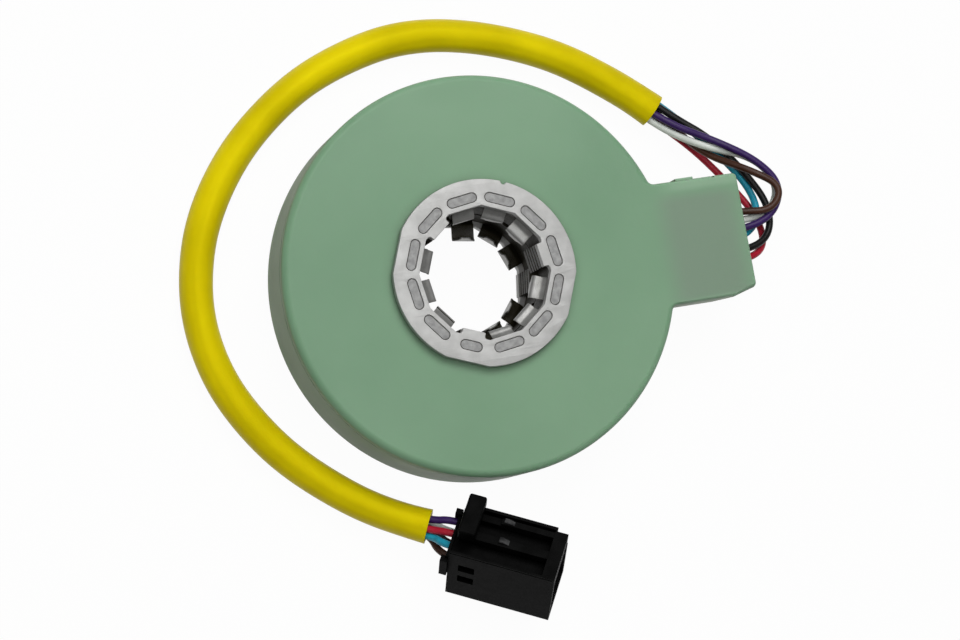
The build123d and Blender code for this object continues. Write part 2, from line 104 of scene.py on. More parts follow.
def prismFaces(n):  # two ends of n points each and the sides between them
    sides = [(i, (i + 1) % n, n + (i + 1) % n, n + i) for i in range(n)]
    return [tuple(range(n)), tuple(range(n, 2 * n))] + sides


def lathe(name, profile, segments=144):  # a closed profile of (radius, height) turned about the axis
    count = len(profile)
    verts = [(r * cos(2 * pi * s / segments), r * sin(2 * pi * s / segments), z)
             for s in range(segments) for r, z in profile]
    faces = []
    for s in range(segments):
        after = (s + 1) % segments
        for i in range(count):
            j = (i + 1) % count
            faces.append((s * count + i, after * count + i, after * count + j, s * count + j))
    return meshObject(name, verts, faces)


def plate(name, outline, holes, low, high, edge):  # a sheet with rounded edges between two heights
    curve = bpy.data.curves.new(name, "CURVE")
    curve.dimensions = "2D"
    curve.fill_mode = "BOTH"
    for loop in [outline] + holes:
        spline = curve.splines.new("POLY")
        spline.points.add(len(loop) - 1)
        for point, (x, y) in zip(spline.points, loop):
            point.co = (x, y, 0, 1)
        spline.use_cyclic_u = True
    curve.extrude = (high - low) / 2 - edge
    curve.bevel_depth = edge
    curve.bevel_resolution = 2
    curve.offset = -edge
    obj = addObject(name, curve)
    obj.location = (0, 0, (low + high) / 2)
    made = bake(obj)
    weld(made.data, 2 * weldDistance)
    return made


def join(name, objs):
    mesh = bpy.data.meshes.new(name)
    work = bmesh.new()
    for obj in objs:
        obj.data.transform(obj.matrix_world)
        work.from_mesh(obj.data)
        bpy.data.objects.remove(obj)
    work.to_mesh(mesh)
    work.free()
    return addObject(name, mesh)


def arcThrough(centre, radius, start, end, count):
    return [(centre[0] + radius * cos(start + (end - start) * k / count),
             centre[1] + radius * sin(start + (end - start) * k / count)) for k in range(count + 1)]


def turned(loop, angle):
    c, s = cos(angle), sin(angle)
    return [(x * c - y * s, x * s + y * c) for x, y in loop]


def angleAway(a, b):  # from b to a, between -pi and pi
    return (a - b + pi) % (2 * pi) - pi


def softEdges(obj, width, segments=2, angle=50):
    mod = obj.modifiers.new("edges", "BEVEL")
    mod.width = width
    mod.segments = segments
    mod.limit_method = "ANGLE"
    mod.angle_limit = radians(angle)
    mod.harden_normals = False
    return bake(obj)


def shade(obj, angle):
    for face in obj.data.polygons:
        face.use_smooth = True
    obj.data.set_sharp_from_angle(angle=radians(angle))
    mod = obj.modifiers.new("normals", "WEIGHTED_NORMAL")
    mod.keep_sharp = True


def finishPiece(obj, name, body, material, nodes=(), place=None, angle=40):
    obj.name = name
    obj.data.name = name
    obj.data.transform(Matrix.Scale(mm, 4) @ (place or Matrix.Identity(4)))
    obj.data.materials.clear()
    obj.data.materials.append(material)
    shade(obj, angle)
    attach(obj, body)
    if nodes:
        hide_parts(*nodes)


# Camera, floor and light

viewSettings = {
    "place": (-130.454, -47.286, 474.378),
    "look": (0.2692537, 0.0816672, -0.9596004),
    "up": (0.1473999, 0.9811641, 0.1248612),
    "lens": 97.295,
    "sensor": 36,
}
cameraData = bpy.data.cameras.new("photoCamera")
cameraData.lens = viewSettings["lens"]
cameraData.sensor_width = viewSettings["sensor"]
cameraData.sensor_fit = "HORIZONTAL"
cameraData.clip_start = 0.01
camera = addObject("photoCamera", cameraData)
back = -Vector(viewSettings["look"]).normalized()
right = Vector(viewSettings["up"]).cross(back).normalized()
up = back.cross(right)
camera.matrix_world = Matrix.Translation(Vector(viewSettings["place"]) * mm) @ Matrix(
    (right, up, back)).transposed().to_4x4()
bpy.context.scene.camera = camera

studio = {
    "floorSize": 3.0, "floorHeight": -2e-5, "floorColour": (0.72, 0.72, 0.70, 1), "whiteShare": 0.965,
    "worldLevel": 0.14,
    "lamps": [
        {"name": "keyLamp", "place": (0.12, 0.42, 0.72), "size": 0.5, "power": 3.9},
        {"name": "fillLamp", "place": (-0.45, 0.05, 0.7), "size": 0.5, "power": 0.9},
        {"name": "topLamp", "place": (0.0, 0.0, 0.95), "size": 0.5, "power": 2.3},
    ],
}


def feed(links, entry, value):  # a number or colour is set on the socket, an output is linked to it
    if isinstance(value, bpy.types.NodeSocket):
        links.new(value, entry)
    else:
        entry.default_value = value


def mathNode(nodes, links, operation, *values):
    node = nodes.new("ShaderNodeMath")
    node.operation = operation
    for entry, value in zip(node.inputs, values):
        feed(links, entry, value)
    return node.outputs[0]


def mixShaders(nodes, links, share, first, second):
    mix = nodes.new("ShaderNodeMixShader")
    for entry, value in zip(mix.inputs, (share, first, second)):
        links.new(value, entry)
    return mix.outputs[0]


def nodeMaterial(name):
    material = bpy.data.materials.new(name)
    material.use_nodes = True
    material.node_tree.nodes.clear()
    return material, material.node_tree.nodes, material.node_tree.links


def buildFloor():
    size, z = studio["floorSize"] / 2, studio["floorHeight"]
    corners = [(-size, -size, z), (size, -size, z), (size, size, z), (-size, size, z)]
    floor = meshObject("studioFloor", corners, [(0, 1, 2, 3)])
    material, nodes, links = nodeMaterial("paleFloor")
    output = nodes.new("ShaderNodeOutputMaterial")
    diffuse = nodes.new("ShaderNodeBsdfDiffuse")
    diffuse.inputs["Color"].default_value = studio["floorColour"]
    white = nodes.new("ShaderNodeEmission")
    path = nodes.new("ShaderNodeLightPath")
    anyRay = mathNode(nodes, links, "MAXIMUM", path.outputs["Is Camera Ray"], path.outputs["Is Glossy Ray"])
    share = mathNode(nodes, links, "MULTIPLY", anyRay, studio["whiteShare"])
    links.new(mixShaders(nodes, links, share, diffuse.outputs[0], white.outputs[0]), output.inputs[0])
    floor.data.materials.append(material)


def buildLight():
    for lamp in studio["lamps"]:
        data = bpy.data.lights.new(lamp["name"], "AREA")
        data.shape = "DISK"
        data.size = lamp["size"]
        data.energy = lamp["power"]
        obj = addObject(lamp["name"], data)
        obj.location = lamp["place"]
        obj.rotation_euler = Vector(lamp["place"]).to_track_quat("Z", "Y").to_euler()
    world = bpy.data.worlds.new("studioWorld")
    world.use_nodes = True
    nodes, links = world.node_tree.nodes, world.node_tree.links
    nodes.clear()
    output = nodes.new("ShaderNodeOutputWorld")
    seen = nodes.new("ShaderNodeBackground")
    seen.inputs["Strength"].default_value = 1
    lit = nodes.new("ShaderNodeBackground")
    lit.inputs["Strength"].default_value = studio["worldLevel"]
    path = nodes.new("ShaderNodeLightPath")
    anyRay = mathNode(nodes, links, "MAXIMUM", path.outputs["Is Camera Ray"],
                      path.outputs["Is Transmission Ray"])
    links.new(mixShaders(nodes, links, anyRay, lit.outputs[0], seen.outputs[0]), output.inputs[0])
    bpy.context.scene.world = world


buildFloor()
buildLight()
bpy.context.scene.view_settings.view_transform = "Standard"
print("camera, floor and light are set")


# Materials

mottleBand = (0.35, 0.68)  # the noise levels that give the dark and the light shade


def mapRange(nodes, links, value, fromMin=0, fromMax=1, toMin=0, toMax=1, kind="LINEAR"):
    node = nodes.new("ShaderNodeMapRange")
    node.interpolation_type = kind
    for name, limit in (("From Min", fromMin), ("From Max", fromMax), ("To Min", toMin), ("To Max", toMax)):
        node.inputs[name].default_value = limit
    links.new(value, node.inputs["Value"])
    return node.outputs[0]


def noise(nodes, links, place, scale, detail=2):
    node = nodes.new("ShaderNodeTexNoise")
    node.inputs["Scale"].default_value = scale
    node.inputs["Detail"].default_value = detail
    links.new(place, node.inputs["Vector"])
    return node.outputs[0]


def blend(nodes, links, share, first, second):  # two colours, each an output or three numbers
    mix = nodes.new("ShaderNodeMix")
    mix.data_type = "RGBA"
    links.new(share, mix.inputs[0])
    for entry, value in ((mix.inputs[6], first), (mix.inputs[7], second)):
        feed(links, entry, (*value, 1) if isinstance(value, tuple) else value)
    return mix.outputs[2]


def darkHollows(nodes, links, colour, look):  # narrow gaps hold less light than the lamps alone give
    near = nodes.new("ShaderNodeAmbientOcclusion")
    near.inputs["Distance"].default_value = look["reach"]
    near.samples = 8
    share = mapRange(nodes, links, near.outputs["AO"], look["from"], look["to"], look["least"])
    return blend(nodes, links, share, look["shade"], colour)


def patchOver(nodes, links, place, colour, look):  # a soft-edged area of another shade, in object coordinates
    split = nodes.new("ShaderNodeSeparateXYZ")
    links.new(place.outputs["Object"], split.inputs[0])
    wobble = noise(nodes, links, place.outputs["Object"], look["wobbleScale"])
    share = look["strength"]
    for axis, low, high, soft in look["limits"]:
        for limit, sign in ((low, 1), (high, -1)):
            shifted = mathNode(nodes, links, "MULTIPLY_ADD", wobble, look["wobble"], split.outputs[axis])
            ends = limit - sign * soft, limit + sign * soft
            edge = mapRange(nodes, links, shifted, *ends, kind="SMOOTHSTEP")
            share = mathNode(nodes, links, "MULTIPLY", edge, share)
    return blend(nodes, links, share, colour, look["colour"])


def darkSides(nodes, links, place, colour, look):  # upright walls stand in the shade and look browner
    split = nodes.new("ShaderNodeSeparateXYZ")
    links.new(place.outputs["Normal"], split.inputs[0])
    share = mapRange(nodes, links, split.outputs["Z"], look["to"], look["from"], 0, look["strength"])
    return blend(nodes, links, share, colour, look["shade"])


def surface(name, look):  # a mottled colour with its patches and hollows, uneven gloss and a fine grain
    material, nodes, links = nodeMaterial(name)
    output = nodes.new("ShaderNodeOutputMaterial")
    shader = nodes.new("ShaderNodeBsdfPrincipled")
    place = nodes.new("ShaderNodeTexCoord")
    links.new(shader.outputs[0], output.inputs[0])
    mottle = noise(nodes, links, place.outputs["Object"], look["mottleScale"], look.get("mottleDetail", 4))
    ramp = nodes.new("ShaderNodeValToRGB")
    for element, position, shade in zip(ramp.color_ramp.elements, mottleBand, (look["dark"], look["light"])):
        element.position = position
        element.color = (*shade, 1)
    links.new(mottle, ramp.inputs[0])
    colour = ramp.outputs[0]
    for patch in look.get("patches", ()):
        colour = patchOver(nodes, links, place, colour, patch)
    if "sides" in look:
        colour = darkSides(nodes, links, place, colour, look["sides"])
    if "hollow" in look:
        colour = darkHollows(nodes, links, colour, look["hollow"])
    links.new(colour, shader.inputs["Base Color"])
    shader.inputs["Metallic"].default_value = look.get("metallic", 0)
    streak = noise(nodes, links, place.outputs["Object"], look.get("glossScale", 400))
    rough = mapRange(nodes, links, streak, toMin=look["roughLow"], toMax=look["roughHigh"])
    links.new(rough, shader.inputs["Roughness"])
    bump = nodes.new("ShaderNodeBump")
    bump.inputs["Strength"].default_value = look["grainStrength"]
    bump.inputs["Distance"].default_value = look["grainDepth"]
    grain = noise(nodes, links, place.outputs["Object"], look["grainScale"], 5)
    links.new(grain, bump.inputs["Height"])
    links.new(bump.outputs[0], shader.inputs["Normal"])
    for socket, value in look.get("sockets", {}).items():
        shader.inputs[socket].default_value = value
    return material


housingLook = {
    "dark": (0.180, 0.330, 0.200), "light": (0.214, 0.372, 0.232), "mottleScale": 28, "mottleDetail": 3,
    "roughLow": 0.42, "roughHigh": 0.55, "glossScale": 120, "grainScale": 900,
    "grainStrength": 0.25, "grainDepth": 0.0001,
    "sockets": {"Subsurface Weight": 0.35, "Subsurface Radius": (0.6, 1.0, 0.7), "Subsurface Scale": 0.0025,
                "IOR": 1.46, "Specular IOR Level": 0.35},
    "patches": [
        {"limits": (("X", 0.0370, 0.0520, 0.0030), ("Y", -0.0108, 0.0096, 0.0016)),
         "colour": (0.205, 0.288, 0.210), "strength": 0.85, "wobbleScale": 90, "wobble": 0.0008},
        # painted highlight: the next two patches lighten the block's high rim and its low rim
        {"limits": (("X", 0.0390, 0.0560, 0.0030), ("Y", 0.0104, 0.0140, 0.0007)),
         "colour": (0.285, 0.440, 0.300), "strength": 0.7, "wobbleScale": 90, "wobble": 0.0004},
        {"limits": (("X", 0.0390, 0.0500, 0.0030), ("Y", -0.0140, -0.0106, 0.0007)),
         "colour": (0.285, 0.440, 0.300), "strength": 0.6, "wobbleScale": 90, "wobble": 0.0004},
    ],
    "sides": {"from": 0.02, "to": 0.4, "shade": (0.085, 0.140, 0.035), "strength": 0.7},
    "hollow": {"reach": 0.004, "from": 0.25, "to": 0.85, "least": 0.45, "shade": (0.03, 0.04, 0.02)},
}
flangeLook = {
    "dark": (0.42, 0.42, 0.41), "light": (0.50, 0.50, 0.49), "mottleScale": 350, "metallic": 0.25,
    "roughLow": 0.42, "roughHigh": 0.6, "glossScale": 900, "grainScale": 2600,
    "grainStrength": 0.3, "grainDepth": 0.00006,
}
lugLook = {
    "dark": (0.27, 0.27, 0.268), "light": (0.405, 0.405, 0.40), "mottleScale": 900,
    "roughLow": 0.6, "roughHigh": 0.8, "glossScale": 900, "grainScale": 1700,
    "grainStrength": 0.5, "grainDepth": 0.0002, "sockets": {"Specular IOR Level": 0.3},
    "hollow": {"reach": 0.012, "from": 0.45, "to": 0.93, "least": 0.0, "shade": (0.022, 0.018, 0.009)},
}
springLook = {
    "dark": (0.30, 0.30, 0.29), "light": (0.40, 0.40, 0.39), "mottleScale": 500, "metallic": 0.5,
    "roughLow": 0.35, "roughHigh": 0.5, "glossScale": 900, "grainScale": 2400,
    "grainStrength": 0.2, "grainDepth": 0.00005,
    "hollow": {"reach": 0.006, "from": 0.50, "to": 0.86, "least": 0.0, "shade": (0.030, 0.025, 0.012)},
}
brassLook = {
    "dark": (0.48, 0.33, 0.12), "light": (0.66, 0.48, 0.2), "mottleScale": 300, "metallic": 1,
    "roughLow": 0.3, "roughHigh": 0.45, "grainScale": 2000, "grainStrength": 0.15, "grainDepth": 0.00005,
}
tinLook = dict(brassLook, dark=(0.5, 0.49, 0.46), light=(0.64, 0.63, 0.6))
boardLook = {
    "dark": (0.02, 0.09, 0.03), "light": (0.04, 0.14, 0.05), "mottleScale": 200,
    "roughLow": 0.35, "roughHigh": 0.5, "grainScale": 1200, "grainStrength": 0.2, "grainDepth": 0.00008,
}
connectorLook = {
    "dark": (0.0016, 0.0016, 0.0016), "light": (0.0042, 0.0042, 0.0042), "mottleScale": 400,
    "roughLow": 0.45, "roughHigh": 0.6, "glossScale": 1500, "grainScale": 3200,
    "grainStrength": 0.35, "grainDepth": 0.00008, "sockets": {"Specular IOR Level": 0.035},
    "hollow": {"reach": 0.003, "from": 0.35, "to": 0.95, "least": 0.0, "shade": (0.0005, 0.0005, 0.0005)},
}
# painted highlight: the latch catches take a lighter copy of the black moulding
catchHighlightLook = dict(connectorLook, dark=(0.010, 0.010, 0.0105), light=(0.085, 0.085, 0.086))
sleeveLook = {
    "dark": (0.62, 0.50, 0.002), "light": (0.78, 0.63, 0.003), "mottleScale": 60,
    "roughLow": 0.38, "roughHigh": 0.5, "glossScale": 300, "grainScale": 500,
    "grainStrength": 0.25, "grainDepth": 0.00015,
    "sockets": {"Subsurface Weight": 0.2, "Subsurface Radius": (1.0, 0.7, 0.02), "Subsurface Scale": 0.0012,
                "Specular Tint": (1.0, 0.85, 0.01, 1)},
}
wireBase = {
    "mottleScale": 250, "roughLow": 0.34, "roughHigh": 0.46, "glossScale": 700, "grainScale": 1500,
    "grainStrength": 0.15, "grainDepth": 0.00005, "sockets": {"Specular IOR Level": 0.25},
}
wireColours = {
    "brown": ((0.045, 0.016, 0.008), (0.066, 0.026, 0.014)),
    "white": ((0.62, 0.66, 0.62), (0.76, 0.79, 0.75)),
    "purple": ((0.030, 0.010, 0.085), (0.048, 0.018, 0.125)),
    "cyan": ((0.01, 0.24, 0.36), (0.02, 0.34, 0.47)),
    "black": ((0.004, 0.004, 0.004), (0.009, 0.009, 0.009)),
    "red": ((0.36, 0.008, 0.024), (0.50, 0.018, 0.042)),
}
housingSkin = surface("milkyPlastic", housingLook)
flangeSkin = surface("stampedAluminium", flangeLook)
lugSkin = surface("filledPlastic", lugLook)
springSkin = surface("springSheet", springLook)
brassSkin = surface("brassStrip", brassLook)
tinSkin = surface("tinnedBrass", tinLook)
boardSkin = surface("boardLacquer", boardLook)
connectorSkin = surface("blackMoulding", connectorLook)
# painted highlight: the lighter black of the latch catches
catchHighlightSkin = surface("blackWithPaintedHighlight", catchHighlightLook)
sleeveSkin = surface("softYellowHose", sleeveLook)
wireSkins = {colour: surface(colour + "Insulation", dict(wireBase, dark=dark, light=light))
             for colour, (dark, light) in wireColours.items()}
print("materials are made")


# Wires and sleeve

lead = {
    "wireDiameter": 1.4, "wireStart": 46.0, "exitHeight": 9.5, "firstExit": 5.4, "pitch": 1.9,
    "order": ("brown", "white", "purple", "cyan", "black", "red"),
    "bundleRing": 1.72, "leadIn": 3.5, "cavityRun": 4.8,
    "sleeveOuter": 6.2, "sleeveInner": 5.2, "curveSteps": 16, "ringSteps": 7,
}
lie = lead["sleeveOuter"] / 2
sleeveRoute = [
    (43.5, 28.0, lie), (37.5, 33.5, lie), (26.5, 41.0, lie), (13.0, 46.5, lie), (-2.5, 49.0, lie),
    (-18.5, 45.5, lie), (-32.5, 37.5, lie), (-44.0, 25.5, lie), (-51.0, 10.0, lie), (-51.0, -6.5, lie),
    (-44.5, -21.0, lie), (-34.0, -32.5, lie), (-23.0, -40.5, 3.9), (-15.8, -43.9, 6.2),
]
hold = {  # each wire's place in the bundle at the sleeve's corners: angle and share of the ring
    "cyan": [(0, 1)] * 12,
    "purple": [(120, 1)] * 5 + [(150, 1)] + [(180, 1)] * 3 + [(150, 1)] + [(120, 1)] * 2,
    "white": [(173, 1)] + [(180, 1)] * 4 + [(210, 1)] + [(240, 1)] * 3 + [(210, 1)] + [(180, 1)] * 2,
    "black": [(60, 1)] * 5 + [(90, 1)] + [(120, 1)] * 2 + [(120, 0)] * 4,
    "red": [(240, 1)] * 3 + [(240, 0)] + [(60, 0)] * 3 + [(60, 1)] * 5,
    "brown": [(300, 0.1), (300, 0)] + [(300, 1)] * 10,
}
# Each wire's place in the ring at the two mouths, its run past the far one and its turn into the connector.
nearMouth = {"cyan": (0, 1), "purple": (120, 1), "white": (178, 1.15), "black": (60, 1), "red": (240, 1),
             "brown": (300, 0.2)}
farMouth = {"cyan": (18, 1), "purple": (132, 1), "white": (236, 1), "black": (108, 0), "red": (66, 1),
            "brown": (306, 0.93)}
farRun = {"cyan": 1.5, "purple": 0.8, "white": 0.4, "black": 0.8, "red": 0.4, "brown": 0.3}
turnIn = {"cyan": 2.0, "purple": 2.3, "white": 2.6, "black": 2.0, "red": 2.0, "brown": 2.3}
cavityOf = {"purple": (0, 0), "red": (1, 0), "cyan": (2, 0), "white": (0, 1), "black": (1, 1),
            "brown": (2, 1)}  # column and row in the connector
freeBends = {
    "brown": [(54.5, 5.4, 10.0), (61.0, 4.4, 11.2), (64.0, 8.9, 11.2), (58.2, 13.0, 10.4), (51.2, 18.2, 4.9)],
    "white": [(54.5, 3.5, 9.3), (61.7, 4.4, 8.4), (64.5, 9.6, 8.1), (60.7, 15.7, 7.8), (51.1, 18.9, 7.8)],
    "purple": [(54.5, 1.6, 9.9), (61.6, 3.6, 9.9), (64.4, 9.3, 9.7), (60.5, 14.7, 9.6), (53.1, 19.6, 9.1)],
    "cyan": [(53.5, -0.3, 8.9), (59.6, 3.1, 7.0), (60.0, 9.5, 5.3), (55.4, 17.4, 4.0), (50.0, 24.0, 2.8)],
    "black": [(54.0, -2.5, 9.2), (60.8, -0.4, 7.8), (62.4, 6.0, 6.8), (58.8, 13.4, 6.0), (53.6, 20.9, 5.1)],
    "red": [(53.5, -4.3, 9.0), (60.2, -2.2, 6.2), (60.6, 4.4, 4.3), (56.1, 12.1, 3.2), (50.9, 19.4, 2.3)],
}
plug = {  # boxes are x low, x high, y low, y high, z low, z high in the connector's own frame
    "length": 19.85, "width": 11.0, "height": 14.8, "yaw": -26.9, "pitch": 18.7, "roll": -23.3,
    "at": (-3.65, -52.74), "columns": (3.5, 0.8, -1.9), "rows": (3.2, -1.2), "cavity": 2.0, "terminal": 1.6,
    "terminalLength": 12.0, "retainerHole": 0.4, "latchFloor": 5.0,
    "well": (-11, 7.5, -5.08, 4.88),
    "legs": [(-8.6, 7.6, -1.49, 0.17, 5.7, 7.3), (-2.4, 7.6, 3.15, 4.32, 5.7, 7.3),
             (-8.6, -2.4, 3.15, 4.6, 5.4, 6.5), (-9.0, -6.4, -1.4, 4.4, 5.4, 7.0)],
    "cuts": [(7.8, 11, 4.65, 6, 3.0, 8), (3.4, 11, -4.6, 4.6, -6.3, 4.4), (-11, 9.5, -6, -5.3, 6.86, 7.1),
             (-11, -8.7, 4.0, 6, 5.2, 8)],
    "windows": ((1.5, 3.6), (-2.2, -0.15)), "windowFrom": -7.95, "windowTo": -4.9, "windowDepth": 2.6,
    "cavityDepth": 5.0, "edge": 0.14, "tabEdge": 0.42, "keeperEdge": 0.35, "keeperReach": 4.0,
    "catchEdge": 0.06, "catchHeel": 0.1, "catchRise": 0.7, "catchToe": 0.05, "crimpLength": 3.2,
    "holeSteps": 32, "crimpSteps": 24, "boxStart": 3.0, "boxSlit": 0.35, "boxDepth": 5.0, "boxEdge": 0.08,
    "tab": (-9.35, -6.05, -2.3, 6.25, 7.3, 10.0),
    "catches": [(-1.9, 0.1, 7.9, 7.3, -0.95, 0.1), (-2.0, 0.0, 7.9, 7.3, 3.35, 4.2)],
    "keeper": [(0.55, -5.4, 4.4, -0.3, 5.5), (0.55, -2.6, 4.4, -3.4, -0.2), (1.4, -6.3, -5.0, 0.0, 4.8),
               (1.3, 3.4, 4.6, 3.9, 6.1)],
}


def plugPlace():  # the connector lies tilted, with its lowest corner on the floor
    turn = (Matrix.Rotation(radians(plug["yaw"]), 4, "Z") @ Matrix.Rotation(radians(-plug["pitch"]), 4, "Y")
            @ Matrix.Rotation(radians(plug["roll"]), 4, "X"))
    half = (plug["length"] / 2, plug["width"] / 2, plug["height"] / 2)
    lowest = min((turn @ Vector((sx * half[0], sy * half[1], sz * half[2]))).z
                 for sx in (-1, 1) for sy in (-1, 1) for sz in (-1, 1))
    return Matrix.Translation((plug["at"][0], plug["at"][1], -lowest)) @ turn


def cavityCentre(colour):
    column, row = cavityOf[colour]
    return plug["columns"][column], plug["rows"][row]


def inBundle(i, place, shift=0.0):  # a wire's centre beside corner i of the sleeve's route
    points = [Vector(p) for p in sleeveRoute]
    before = (points[i] - points[i - 1]).normalized() if i > 0 else None
    after = (points[i + 1] - points[i]).normalized() if i < len(points) - 1 else None
    before, after = before or after, after or before
    along = (before + after).normalized()
    stretchOut = 1 / cos(before.angle(after, 0) / 2)
    outward = along.cross(Vector((0, 0, 1))).normalized()
    upward = outward.cross(along)
    share = lead["bundleRing"] * place[1]
    return (points[i] + along * shift + outward * share * cos(radians(place[0])) * stretchOut
            + upward * share * sin(radians(place[0])))


def wireRoute(colour):
    exitY = lead["firstExit"] - lead["pitch"] * lead["order"].index(colour)
    points = [Vector((lead["wireStart"], exitY, lead["exitHeight"]))]
    points += [Vector(p) for p in freeBends[colour]]
    points.append(inBundle(0, nearMouth[colour], -lead["leadIn"]))
    points += [inBundle(i + 1, place) for i, place in enumerate(hold[colour])]
    points.append(inBundle(len(sleeveRoute) - 1, farMouth[colour], farRun[colour]))
    turnX = -plug["length"] / 2 - turnIn[colour]
    for x in (turnX, turnX + lead["cavityRun"]):
        points.append(plugPlace() @ Vector((x, *cavityCentre(colour))))
    return points


def splineObject(name, points, thickness):
    curve = bpy.data.curves.new(name, "CURVE")
    curve.dimensions = "3D"
    spline = curve.splines.new("NURBS")
    spline.points.add(len(points) - 1)
    for control, point in zip(spline.points, points):
        control.co = (point[0] * mm, point[1] * mm, point[2] * mm, 1)
    spline.order_u = 3
    spline.use_endpoint_u = True
    curve.resolution_u = lead["curveSteps"]
    curve.bevel_depth = thickness * mm / 2
    curve.bevel_resolution = lead["ringSteps"]
    curve.use_fill_caps = True
    return addObject(name, curve)


def splinePoints(points):  # the points of the route's own spline, as the curve's plain mesh gives them
    probe = splineObject("probe", points, 0)
    made = bake(probe)
    found = [v.co.copy() / mm for v in made.data.vertices]
    bpy.data.objects.remove(made)
    return found


for colour in lead["order"]:
    route = wireRoute(colour)
    wire = splineObject(colour + "Wire", route, lead["wireDiameter"])
    wire.data.materials.append(wireSkins[colour])
    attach(wire, "housing")
    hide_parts("wire_" + colour)
print("wires are laid")

hose = {
    "length": 186.4, "around": 48, "mouthWiden": 0.05, "mouthReach": 7.0, "flatten": 0.03,
    "flattenWave": (0.13, 0.6), "dent": 0.05, "dentWaves": (0.31, 0.07), "creases": (1.15, 2.3),
    "creaseDepth": 0.07, "creaseWidth": 0.35, "creaseDrift": (0.15, 0.05), "floors": (0.02, 0.5),
}


def hoseShape(a, s):  # how far dents and creases move the wall at angle a, s along the hose
    waveAlong, waveSlow = hose["dentWaves"]
    drift, driftRate = hose["creaseDrift"]
    wave = hose["dent"] * sin(s * waveAlong + 2 * a) * sin(s * waveSlow + a)
    crease = 0
    for place in hose["creases"]:
        away = abs(angleAway(a + drift * sin(s * driftRate), place))
        crease -= hose["creaseDepth"] * max(0, 1 - away / hose["creaseWidth"]) ** 2
    return wave, crease


def buildSleeve():
    path = splinePoints(sleeveRoute)
    steps = [0.0]
    for a, b in zip(path, path[1:]):
        steps.append(steps[-1] + (b - a).length)
    total, verts, faces = steps[-1], [], []
    outer, inner, around = lead["sleeveOuter"] / 2, lead["sleeveInner"] / 2, hose["around"]
    rate, phase = hose["flattenWave"]
    for i, point in enumerate(path):
        along = (path[min(i + 1, len(path) - 1)] - path[max(i - 1, 0)]).normalized()
        outward = along.cross(Vector((0, 0, 1))).normalized()
        upward = outward.cross(along)
        s = steps[i]
        mouth = max(0, 1 - min(s, total - s) / hose["mouthReach"]) ** 2
        flatness = hose["flatten"] * (0.5 + 0.5 * sin(s * rate + phase))
        wide, flat = 1 + hose["mouthWiden"] * mouth + flatness, 1 - flatness
        for k in range(around):
            a = 2 * pi * k / around
            wave, crease = hoseShape(a, s)
            for reach, floor in zip((outer + wave + crease, inner + wave), hose["floors"]):
                spot = point + outward * (reach * cos(a) * wide) + upward * (reach * sin(a) * flat)
                spot.z = max(spot.z, floor)
                verts.append(spot)
    ring = 2 * around
    for i in range(len(path) - 1):
        a, b = i * ring, (i + 1) * ring
        for k in range(around):
            here, there = 2 * k, 2 * ((k + 1) % around)
            faces.append((a + here, a + there, b + there, b + here))
            faces.append((a + here + 1, b + here + 1, b + there + 1, a + there + 1))
    for a in (0, (len(path) - 1) * ring):
        for k in range(around):
            here, there = 2 * k, 2 * ((k + 1) % around)
            faces.append((a + here, a + here + 1, a + there + 1, a + there))
    obj = meshObject("sleeveHose", verts, faces)
    finishPiece(obj, "sleeveHose", "housing", sleeveSkin, ["sleeve"], angle=50)


buildSleeve()
print("sleeve is made")


# Housing

shell = {
    "radius": 37.5, "back": 1.9, "top": 17.1, "wall": 1.8, "edge": 1.4, "edgeSteps": 7, "foot": 0.25,
    "grooveDepth": 0.25, "grooveDrop": 2.6, "grooveHeight": 0.3, "grooveClear": 0.5, "blockSpan": (30, 60),
    "highSide": 12.15, "lowSide": 11.3, "draft": 0.8, "blockWall": 1.9, "wallReach": 48.7, "wallCorner": 0.15,
    "straight": 6, "eaveReach": 52.9, "eaveEdge": 0.6, "eaveThickness": 2.6, "eaveLow": 9.9, "eaveStart": 0.5,
    "eaveGap": 0.02, "corner": 0.9, "lowCorner": 1.1, "junction": 1.2, "bendPoints": 6, "arcPoints": 220,
    "bore": 16.15, "boreDepth": 4, "cavitySteps": 180, "hollowFrom": 20, "ledgeRoot": 1.5,
    "ledge": (40.7, 44.2, 12.5, 13.1, 16.2), "notch": (47.7, 48.2, 0.45, 1.6),
}


def housingLoop(inset, draft, eave):
    # the outline from the block's high side round the disc to its low side and back, always as many points
    radius = shell["radius"] - inset
    side = inset * shell["eaveEdge"] / shell["edge"]  # the block's edges are sharper than the disc's
    high, low = shell["highSide"] - side - draft, shell["lowSide"] - side - draft
    bend = shell["junction"] + inset
    highX = sqrt((radius + bend) ** 2 - (high + bend) ** 2)
    lowX = sqrt((radius + bend) ** 2 - (low + bend) ** 2)
    startAngle = atan2(high + bend, highX)
    endAngle = -atan2(low + bend, lowX)
    points = arcThrough((highX, high + bend), bend, -pi / 2, startAngle - pi, shell["bendPoints"])
    points += arcThrough((0, 0), radius, startAngle, 2 * pi + endAngle, shell["arcPoints"])[1:-1]
    points += arcThrough((lowX, -low - bend), bend, pi + endAngle, pi / 2, shell["bendPoints"])
    turnX, endLow, c = shell["wallReach"], low, shell["wallCorner"]
    endX = turnX - 10 * weldDistance  # just short of the wall, so that no point is lost
    if eave:
        turnX -= shell["eaveStart"]
        endX = shell["eaveReach"] - side
        endLow, c = shell["eaveLow"] - side, max(shell["corner"] - side, c)
    points += [(turnX - shell["straight"], -low), (turnX, -low)]
    slopeX, slopeY = endX - c, -endLow - (low - endLow) * (c / max(endX - turnX, c))
    points.append((slopeX, slopeY))
    points += [(slopeX + c * sin(t), slopeY + c * shell["lowCorner"] * (1 - cos(t))) for t in cornerTurns]
    points += [(slopeX + c * cos(t), high - c + c * sin(t)) for t in (0, *cornerTurns)]
    points += [(turnX, high), (turnX - shell["straight"], high)]
    return points


